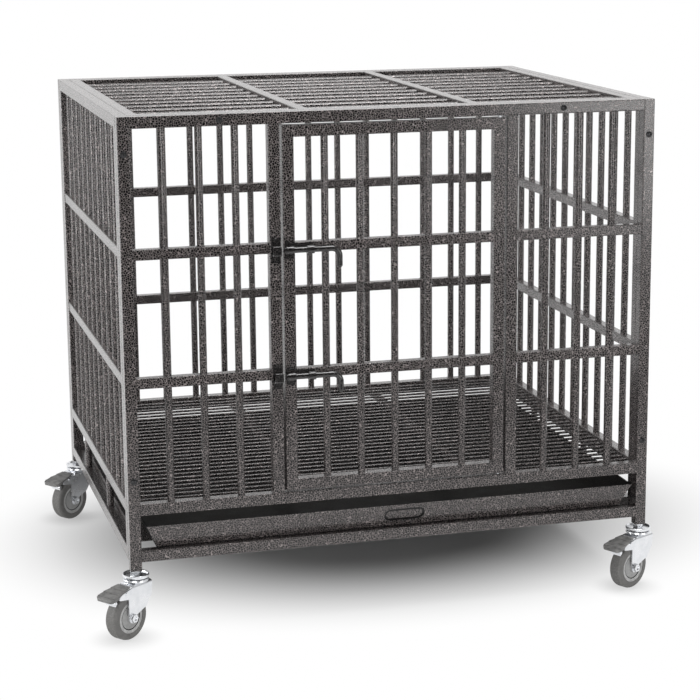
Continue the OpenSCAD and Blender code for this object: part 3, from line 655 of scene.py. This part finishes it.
@dataclass
class WeldBeads:
    """Beads of one sub-assembly, gathered into one mesh."""

    name: str
    body: str
    thick: float = 0.0008
    uneven: float = 0.16
    wave: float = 2.4
    stagger: float = 1.7
    taper: float = 0.35
    facets: int = 6
    ring_steps: int = 18
    line_steps: int = 9
    count: int = 0
    mesh: bmesh.types.BMesh = field(default_factory=bmesh.new)

    def sweep(self, path: list[Vector], sides: list[tuple[Vector, Vector]], closed: bool) -> None:
        """Lay a bead along a path, a little uneven as a hand weld is.

        Args:
            path: points of the path.
            sides: two directions across the path at each point.
            closed: whether the last point joins the first.
        """
        self.count += 1
        rows = []
        for index, (point, (across, along)) in enumerate(zip(path, sides)):
            swell = 1.0 + self.uneven * math.sin(self.wave * index + self.stagger * self.count)
            if not closed and index in (0, len(path) - 1):
                swell *= self.taper
            rows.append([
                self.mesh.verts.new(
                    point + self.thick * swell * (math.cos(turn) * across + math.sin(turn) * along))
                for turn in turns(self.facets)
            ])
        pairs = list(zip(rows, rows[1:])) + ([(rows[-1], rows[0])] if closed else [])
        for first, second in pairs:
            for k in range(self.facets):
                after = (k + 1) % self.facets
                self.mesh.faces.new((first[k], first[after], second[after], second[k]))
        if not closed:
            self.mesh.faces.new(list(reversed(rows[0])))
            self.mesh.faces.new(rows[-1])

    def ring(self, centre: Point, axis: Point, radius: float) -> None:
        """Lay a bead round a bar where it meets a rail.

        Args:
            centre: where the bar's line meets the rail's face.
            axis: direction of the bar.
            radius: radius of the bar.
        """
        along = Vector(axis)
        first = along.orthogonal().normalized()
        second = along.cross(first)
        path, sides = [], []
        for turn in turns(self.ring_steps):
            across = math.cos(turn) * first + math.sin(turn) * second
            path.append(Vector(centre) + radius * across)
            sides.append((across, along))
        self.sweep(path, sides, True)

    def line(self, start: Point, end: Point) -> None:
        """Lay a straight bead in the corner between two tubes.

        Args:
            start: one end.
            end: other end.
        """
        low, high = Vector(start), Vector(end)
        along = (high - low).normalized()
        first = along.orthogonal().normalized()
        second = along.cross(first)
        last = self.line_steps - 1
        path = [low.lerp(high, k / last) for k in range(self.line_steps)]
        self.sweep(path, [(first, second)] * self.line_steps, False)

    def finish(self, material: bpy.types.Material) -> None:
        """Turn the beads into one piece that rides on its body.

        Args:
            material: finish of the beads.
        """
        bmesh.ops.recalc_face_normals(self.mesh, faces=self.mesh.faces)
        data = bpy.data.meshes.new(self.name)
        self.mesh.to_mesh(data)
        self.mesh.free()
        data.polygons.foreach_set("use_smooth", [True] * len(data.polygons))
        piece = bpy.data.objects.new(self.name, data)
        bpy.context.scene.collection.objects.link(piece)
        data.materials.append(material)
        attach(piece, self.body)
        LOG.info("%s: %d beads on %s", self.name, self.count, self.body)


def dress(nodes: Iterable[str], material: bpy.types.Material) -> None:
    """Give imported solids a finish.

    Args:
        nodes: names of the solids.
        material: the finish.
    """
    for name in nodes:
        data = frame["nodes"][name].data
        data.materials.clear()
        data.materials.append(material)
        LOG.info("%s: %s", name, material.name)


def spread(low: float, high: float, count: int, width: float) -> list[float]:
    """Middles of bars that leave even gaps in an opening.

    Args:
        low: lower edge of the opening.
        high: upper edge of the opening.
        count: number of bars.
        width: width of a bar.

    Returns:
        The middles, lowest first.
    """
    gap = (high - low - count * width) / (count + 1)
    return [low + gap * (k + 1) + width * (k + 0.5) for k in range(count)]


@dataclass
class Stock:
    """Tube and bar that the crate is welded from, and the heights of its middle rails."""

    tube: float = 0.020
    mid_tube: float = 0.018
    edge: float = 0.0016
    bar: float = 0.0127
    mids: tuple[float, float] = (0.444, 0.6635)

    def faces(self, low: float, high: float) -> list[float]:
        """Heights of the rail faces that an upright bar is welded to.

        Args:
            low: upper face of the lowest rail.
            high: lower face of the highest rail.

        Returns:
            The heights, lowest first.
        """
        half = self.mid_tube / 2
        inner = [z + side * half for z in self.mids for side in (-1, 1)]
        return [low, *inner, high]


@dataclass
class FixedFrame:
    """Posts, walls, top and floor of the crate."""

    half_w: float = 0.475
    half_d: float = 0.375
    floor_top: float = 0.2335
    floor_low: float = 0.2135
    base_top: float = 0.151
    base_low: float = 0.131
    head: float = 0.874
    doorway: float = 0.202
    strut_front: float = -0.090
    strut_back: float = 0.188
    top_half_w: float = 0.4547
    top_half_d: float = 0.3547
    top_cross: float = 0.152
    top_middle: float = 0.884
    light_bars: int = 3
    side_bars: int = 10
    back_bars: int = 14
    top_bars: int = 10
    stock: Stock = field(default_factory=Stock)

    nodes: tuple[str, ...] = (
        "front_left_post", "front_right_post", "back_left_post", "back_right_post",
        "front_left_grille", "front_right_grille", "front_top_rail", "front_floor_rail",
        "front_base_rail", "back_grille", "back_base_rail", "left_panel", "right_panel",
        "top_panel", "floor_grate", "grate_ledges", "tray_runners",
    )

    def upright_bars(self, beads: WeldBeads, places: Iterable[tuple[float, float]]) -> None:
        """Weld upright bars to the rails that they cross.

        Args:
            beads: beads to add to.
            places: middle of each bar across the crate and along its depth.
        """
        for x, y in places:
            for z in self.stock.faces(self.floor_top, self.head):
                beads.ring((x, y, z), UPRIGHT, self.stock.bar / 2)

    def rail_ends(self, beads: WeldBeads, x: float, y: float, sideways: bool,
                  rails: Iterable[Range]) -> None:
        """Weld rail ends to the post that they meet.

        Args:
            beads: beads to add to.
            x: middle of the joint across the crate.
            y: middle of the joint along its depth.
            sideways: whether the bead runs along the width of the crate.
            rails: lower and upper face of each rail.
        """
        reach = self.stock.mid_tube / 2 - self.stock.edge
        step = Vector((reach, 0.0, 0.0)) if sideways else Vector((0.0, reach, 0.0))
        for faces in rails:
            for z in faces:
                middle = Vector((x, y, z))
                beads.line(tuple(middle - step), tuple(middle + step))

    def rails(self) -> list[Range]:
        """Lower and upper faces of the floor rail and the middle rails of a wall."""
        half = self.stock.mid_tube / 2
        return [(self.floor_low, self.floor_top), *((z - half, z + half) for z in self.stock.mids)]

    def weld(self) -> WeldBeads:
        """Lay the beads of the walls and the top.

        Returns:
            The beads.
        """
        stock = self.stock
        beads = WeldBeads("frame_welds", "crate")
        half = stock.tube / 2
        post_x = self.half_w - stock.tube
        wall_x = self.half_w - half
        wall_y = self.half_d - half
        side_y = self.half_d - 2 * stock.tube
        light_low = self.doorway + stock.tube
        base = (self.base_low, self.base_top)
        light = spread(light_low, post_x, self.light_bars, stock.bar)
        wall = spread(-side_y, side_y, self.side_bars, stock.bar)
        for side in (-1, 1):
            self.upright_bars(beads, ((side * x, -wall_y) for x in light))
            self.upright_bars(beads, ((side * wall_x, y) for y in wall))
            self.rail_ends(beads, side * post_x, -wall_y, False, self.rails())
            self.rail_ends(beads, side * light_low, -wall_y, False, self.rails()[1:])
            self.rail_ends(beads, side * post_x, wall_y, False, self.rails())
            for y in (-side_y, side_y):
                self.rail_ends(beads, side * wall_x, y, True, [base, *self.rails()])
            for y in (-wall_y, wall_y):
                self.rail_ends(beads, side * post_x, y, False, [base])
            for y in (self.strut_front, self.strut_back):
                for edge in (-half, half):
                    strut = (self.base_top, self.floor_low)
                    self.rail_ends(beads, side * wall_x, y + edge, True, [strut])
        back = spread(-post_x, post_x, self.back_bars, stock.bar)
        self.upright_bars(beads, ((x, wall_y) for x in back))
        self.weld_top(beads)
        return beads

    def weld_top(self, beads: WeldBeads) -> None:
        """Weld the bars of the top to its border and cross rails.

        Args:
            beads: beads to add to.
        """
        stock = self.stock
        inner = self.top_half_w - stock.tube
        half = stock.tube / 2
        marks = [-inner, -self.top_cross - half, -self.top_cross + half,
                 self.top_cross - half, self.top_cross + half, inner]
        reach = self.top_half_d - stock.tube
        for y in spread(-reach, reach, self.top_bars, stock.bar):
            for x in marks:
                beads.ring((x, y, self.top_middle), SIDEWAYS, stock.bar / 2)

    def build(self, coat: bpy.types.Material) -> None:
        """Finish the solids and add the welds.

        Args:
            coat: finish of the frame.
        """
        dress(self.nodes, coat)
        self.weld().finish(coat)


@dataclass
class Door:
    """Barred door with its bolt guides, its two slide bolts and their keepers."""

    half_w: float = 0.198
    low: float = 0.2365
    high: float = 0.871
    wall_y: float = -0.365
    bars: int = 5
    stock: Stock = field(default_factory=Stock)
    panel: tuple[str, ...] = ("door_panel",)
    latch: tuple[str, ...] = ("latch_keepers", "latch_guides", "upper_bolt", "lower_bolt")
    hinge: tuple[str, ...] = ("hinge_pins",)

    def weld(self) -> WeldBeads:
        """Lay the beads of the bars and the middle rails.

        Returns:
            The beads.
        """
        stock = self.stock
        beads = WeldBeads("door_welds", "door")
        inner = self.half_w - stock.tube
        half = stock.mid_tube / 2
        front = self.wall_y - (half - stock.edge)
        back = self.wall_y + (half - stock.edge)
        for x in spread(-inner, inner, self.bars, stock.bar):
            for z in stock.faces(self.low + stock.tube, self.high - stock.tube):
                beads.ring((x, self.wall_y, z), UPRIGHT, stock.bar / 2)
        for x in (-inner, inner):
            for z in stock.mids:
                for edge in (-half, half):
                    beads.line((x, front, z + edge), (x, back, z + edge))
        return beads

    def build(self, coat: bpy.types.Material, latch: bpy.types.Material,
              zinc: bpy.types.Material) -> None:
        """Finish the solids and add the welds.

        Args:
            coat: finish of the door.
            latch: finish of the bolts, their guides and keepers.
            zinc: finish of the hinge pins.
        """
        dress(self.panel, coat)
        dress(self.latch, latch)
        dress(self.hinge, zinc)
        self.weld().finish(coat)


@dataclass
class Tray:
    """Sheet pan below the floor."""

    outer: tuple[str, ...] = ("tray_front",)
    inner: tuple[str, ...] = ("tray_floor", "tray_back", "tray_sides")
    lip: float = 0.0011
    lip_steps: int = 48

    def pull_lip(self, coat: PanCoat) -> WeldBeads:
        """Raise the rolled lip round the pressed pull.

        Args:
            coat: finish that knows where the pull is.

        Returns:
            The lip.
        """
        lip = WeldBeads("pull_lip", "tray_pan", self.lip, uneven=0.0)
        uphill = Vector((0.0, -math.sqrt(1.0 - coat.pull_slope ** 2), coat.pull_slope))
        level = Vector(SIDEWAYS)
        outward = level.cross(uphill)
        radius = coat.pull_round + coat.groove_out + self.lip
        path, sides = [], []
        for turn in turns(self.lip_steps, 0.5):
            across = math.cos(turn) * level + math.sin(turn) * uphill
            end = math.copysign(coat.pull_straight, math.cos(turn)) * level
            path.append(Vector(coat.pull_middle) + end + radius * across)
            sides.append((across, outward))
        lip.sweep(path, sides, True)
        return lip

    def build(self, coat: PanCoat, pan_shade: bpy.types.Material) -> None:
        """Finish the pan's sheets and add the lip of the pull.

        Args:
            coat: finish of the front wall.
            pan_shade: near-black finish of the floor and the other walls, painted shade.
        """
        finish = coat.material()
        dress(self.outer, finish)
        dress(self.inner, pan_shade)
        self.pull_lip(coat).finish(finish)


@dataclass
class Caster:
    """Braked swivel caster at one corner."""

    corner: Corner

    def axle(self) -> tuple[Point, Point]:
        """Middle and direction of the axle.

        Returns:
            A point of the axle and its direction.
        """
        name = f"{self.corner.value}_wheel_spin"
        joint = next(j for j in frame["joints"] if j["name"] == name)
        return tuple(joint["pos_m"]), tuple(joint["axis"])

    def build(self, zinc: bpy.types.Material, pedal: bpy.types.Material) -> None:
        """Finish the fork, axle, brake and wheel.

        Args:
            zinc: finish of the metal pieces.
            pedal: finish of the pedal.
        """
        name = self.corner.value
        centre, axis = self.axle()
        dress((f"{name}_fork", f"{name}_axle", f"{name}_shoe"), zinc)
        dress((f"{name}_pedal",), pedal)
        dress((f"{name}_hub",), HubPlastic(f"{name}_hub_plastic", centre, axis).material())
        dress((f"{name}_tyre",), TyreRubber(f"{name}_tyre_rubber", centre, axis).material())


@dataclass
class Fixings:
    """Screws, inserts, leg plugs and the fixed half of the casters."""

    screws: tuple[str, ...] = ("panel_screws", "rivet_nuts")
    plated: tuple[str, ...] = ("caster_stems", "caster_cups")
    plugs: tuple[str, ...] = ("leg_plugs",)

    def build(self, screw: bpy.types.Material, zinc: bpy.types.Material,
              pedal: bpy.types.Material) -> None:
        """Finish the fixings.

        Args:
            screw: finish of the screws and inserts.
            zinc: finish of the stems and cups.
            pedal: finish of the plugs.
        """
        dress(self.screws, screw)
        dress(self.plated, zinc)
        dress(self.plugs, pedal)


@dataclass
class Viewpoint:
    """Camera at the place that the picture was taken from, angles in degrees."""

    place: Point = (-0.98078, -3.70734, 1.24784)
    yaw: float = 15.7909
    pitch: float = 12.1671
    roll: float = -0.3309
    focal_pixels: float = 2049.91
    frame_pixels: float = 700.0
    sensor: float = 36.0
    shift_x: float = -0.0357
    shift_y: float = -0.02
    sight: float = 60.0

    def build(self) -> None:
        """Stand the camera and make it the scene's own."""
        yaw, pitch, roll = (math.radians(x) for x in (self.yaw, self.pitch, self.roll))
        flat = math.cos(pitch)
        ahead = Vector((math.sin(yaw) * flat, math.cos(yaw) * flat, -math.sin(pitch)))
        right = Vector((math.cos(yaw), -math.sin(yaw), 0.0))
        up = right.cross(ahead)
        level = math.cos(roll) * right + math.sin(roll) * up
        plumb = -math.sin(roll) * right + math.cos(roll) * up
        data = bpy.data.cameras.new("camera")
        data.sensor_width = self.sensor
        data.lens = self.focal_pixels * self.sensor / self.frame_pixels
        data.shift_x = self.shift_x
        data.shift_y = self.shift_y
        data.clip_end = self.sight
        eye = bpy.data.objects.new("camera", data)
        turn = Matrix((level, plumb, -ahead)).transposed().to_4x4()
        eye.matrix_world = Matrix.Translation(self.place) @ turn
        bpy.context.scene.collection.objects.link(eye)
        bpy.context.scene.camera = eye


@dataclass
class Surround:
    """Light all round: white to the camera, and in reflections white behind and dim in front."""

    fill: float = 0.11
    gleam_way: Range = (-0.5, 0.1)
    gleam: Range = (0.03, 1.0)

    def build(self) -> None:
        """Make the world and give it to the scene."""
        world = bpy.data.worlds.new("studio")
        bpy.context.scene.world = world
        world.use_nodes = True
        board = NodeBoard(world.node_tree)
        rays = board.add("ShaderNodeLightPath").outputs
        way = board.split(board.add("ShaderNodeTexCoord").outputs["Generated"])
        gleam = board.span(way["Y"], self.gleam_way, self.gleam, Fade.EVEN)
        strength = board.choose(rays["Is Glossy Ray"], self.fill, gleam)
        strength = board.choose(rays["Is Camera Ray"], strength, 1.0)
        back = board.add("ShaderNodeBackground")
        back.inputs["Color"].default_value = WHITE
        board.join(strength, back.inputs["Strength"])
        output = board.add("ShaderNodeOutputWorld")
        board.join(back.outputs["Background"], output.inputs["Surface"])


@dataclass
class Floor:
    """Pale floor, plain white away from the crate; in a fixed oval under the crate and round each wheel
    its dimmer matt face shows with the true shadow on it, partly painted shade.
    """

    half: float = 40.0
    shade_middle: Point = (0.09, 0.15, 0.0)
    shade_half: Point = (0.79, 0.62, 1.0)
    shade_edge: Range = (0.37, 1.06)
    wheel_shade_reach: Range = (0.01, 0.075)
    wheel_shade_white: Range = (0.68, 1.0)
    pale_from: Range = (-2.2, -0.9)
    pale: Range = (0.14, 0.56)
    gleam_from: Range = (-2.0, -1.1)

    def white(self, board: NodeBoard, place: Socket) -> Socket:
        """Share of plain white, less in a fixed oval under the crate and round each wheel: painted
        shade, over which the true shadow shows.

        Args:
            board: the floor's nodes.
            place: coordinates on the floor.

        Returns:
            The share.
        """
        under = board.shift("SUBTRACT", place, self.shade_middle)
        away = board.length(board.shift("DIVIDE", under, self.shade_half))
        share = board.span(away, self.shade_edge, RISE)
        # Fixed grey halo round each wheel's place: painted shade, with the true contact shadow inside
        # it.
        for corner in Corner:
            (x, y, _), _ = Caster(corner).axle()
            gap = board.length(board.shift("SUBTRACT", place, (x, y, 0.0)))
            share = board.calc("MULTIPLY", share, board.span(gap, self.wheel_shade_reach, self.wheel_shade_white))
        return share

    def material(self) -> bpy.types.Material:
        """Make the floor's material.

        Returns:
            The material.
        """
        material = bpy.data.materials.new("floor_white")
        material.use_nodes = True
        board = NodeBoard(material.node_tree)
        place = board.add("ShaderNodeTexCoord").outputs["Object"]
        depth = board.split(place)["Y"]
        # The matt floor darkens further in front, so the crate's front reflects it dimmer and gets less
        # bounced light.
        matt = board.add("ShaderNodeBsdfDiffuse")
        board.join(board.span(depth, self.pale_from, self.pale, Fade.EVEN), matt.inputs["Color"])
        glow = board.add("ShaderNodeEmission")
        glow.inputs["Color"].default_value = WHITE
        rays = board.add("ShaderNodeLightPath").outputs
        # In reflections the floor glows white near the crate and fades further in front: a painted
        # reflection.
        near = board.span(depth, self.gleam_from, RISE, Fade.EVEN)
        seen = board.calc("MULTIPLY_ADD", rays["Is Glossy Ray"], near, rays["Is Camera Ray"])
        blend = board.add("ShaderNodeMixShader")
        board.join(board.calc("MULTIPLY", seen, self.white(board, place)), blend.inputs["Fac"])
        board.join(matt.outputs["BSDF"], blend.inputs[1])
        board.join(glow.outputs["Emission"], blend.inputs[2])
        output = board.add("ShaderNodeOutputMaterial")
        board.join(blend.outputs["Shader"], output.inputs["Surface"])
        return material

    def build(self) -> None:
        """Lay the floor."""
        half = self.half
        corners = [(-half, -half, 0.0), (half, -half, 0.0), (half, half, 0.0), (-half, half, 0.0)]
        data = bpy.data.meshes.new("floor")
        data.from_pydata(corners, [], [(0, 1, 2, 3)])
        piece = bpy.data.objects.new("floor", data)
        bpy.context.scene.collection.objects.link(piece)
        data.materials.append(self.material())


@dataclass(frozen=True)
class Lamp:
    """Soft lamp with a rectangular face."""

    name: str
    place: Point
    aim: Point
    face: tuple[float, float]
    watts: float

    def build(self) -> None:
        """Hang the lamp and turn its face to its aim."""
        data = bpy.data.lights.new(self.name, "AREA")
        data.shape = "RECTANGLE"
        data.size, data.size_y = self.face
        data.energy = self.watts
        lamp = bpy.data.objects.new(self.name, data)
        lamp.location = self.place
        lamp.rotation_mode = "QUATERNION"
        way = Vector(self.aim) - Vector(self.place)
        lamp.rotation_quaternion = way.to_track_quat("-Z", "Y")
        lamp.visible_camera = False
        bpy.context.scene.collection.objects.link(lamp)


@dataclass
class Studio:
    """Camera, floor, light all round and lamps."""

    viewpoint: Viewpoint = field(default_factory=Viewpoint)
    surround: Surround = field(default_factory=Surround)
    floor: Floor = field(default_factory=Floor)
    lamps: tuple[Lamp, ...] = (
        Lamp("top", (0.5, -0.3, 3.0), (0.0, 0.0, 0.3), (1.4, 1.4), 58.0),
        Lamp("left", (-3.2, 0.1, 0.8), (0.0, 0.0, 0.5), (0.16, 1.5), 30.0),
        Lamp("front", (-1.7, -3.6, 0.65), (0.0, 0.0, 0.35), (2.0, 1.1), 38.0),
        Lamp("right", (2.0, -3.2, 0.7), (0.4, -0.37, 0.7), (1.3, 1.0), 26.0),
    )

    def build(self) -> None:
        """Set up the studio with plain colours."""
        bpy.context.scene.view_settings.view_transform = "Standard"
        self.viewpoint.build()
        self.surround.build()
        self.floor.build()
        for lamp in self.lamps:
            lamp.build()
        LOG.info("studio: camera, floor, surround and %d lamps", len(self.lamps))


def main() -> None:
    """Build the sub-assemblies in order."""
    logging.basicConfig(level=logging.INFO, format="%(name)s: %(message)s")
    coat = HammeredCoat().material()
    latch = HammeredCoat("latch_coat", vein_width=-0.02, gloss=1.0, haze=0.05).material()
    pan_shade = PanShadeBlack().material()
    zinc = ZincPlate().material()
    screw = ScrewBlack().material()
    pedal = PedalPlastic().material()
    FixedFrame().build(coat)
    Door().build(coat, latch, zinc)
    Tray().build(PanCoat(), pan_shade)
    Fixings().build(screw, zinc, pedal)
    for corner in Corner:
        Caster(corner).build(zinc, pedal)
    Studio().build()


if __name__ == "__main__":
    main()
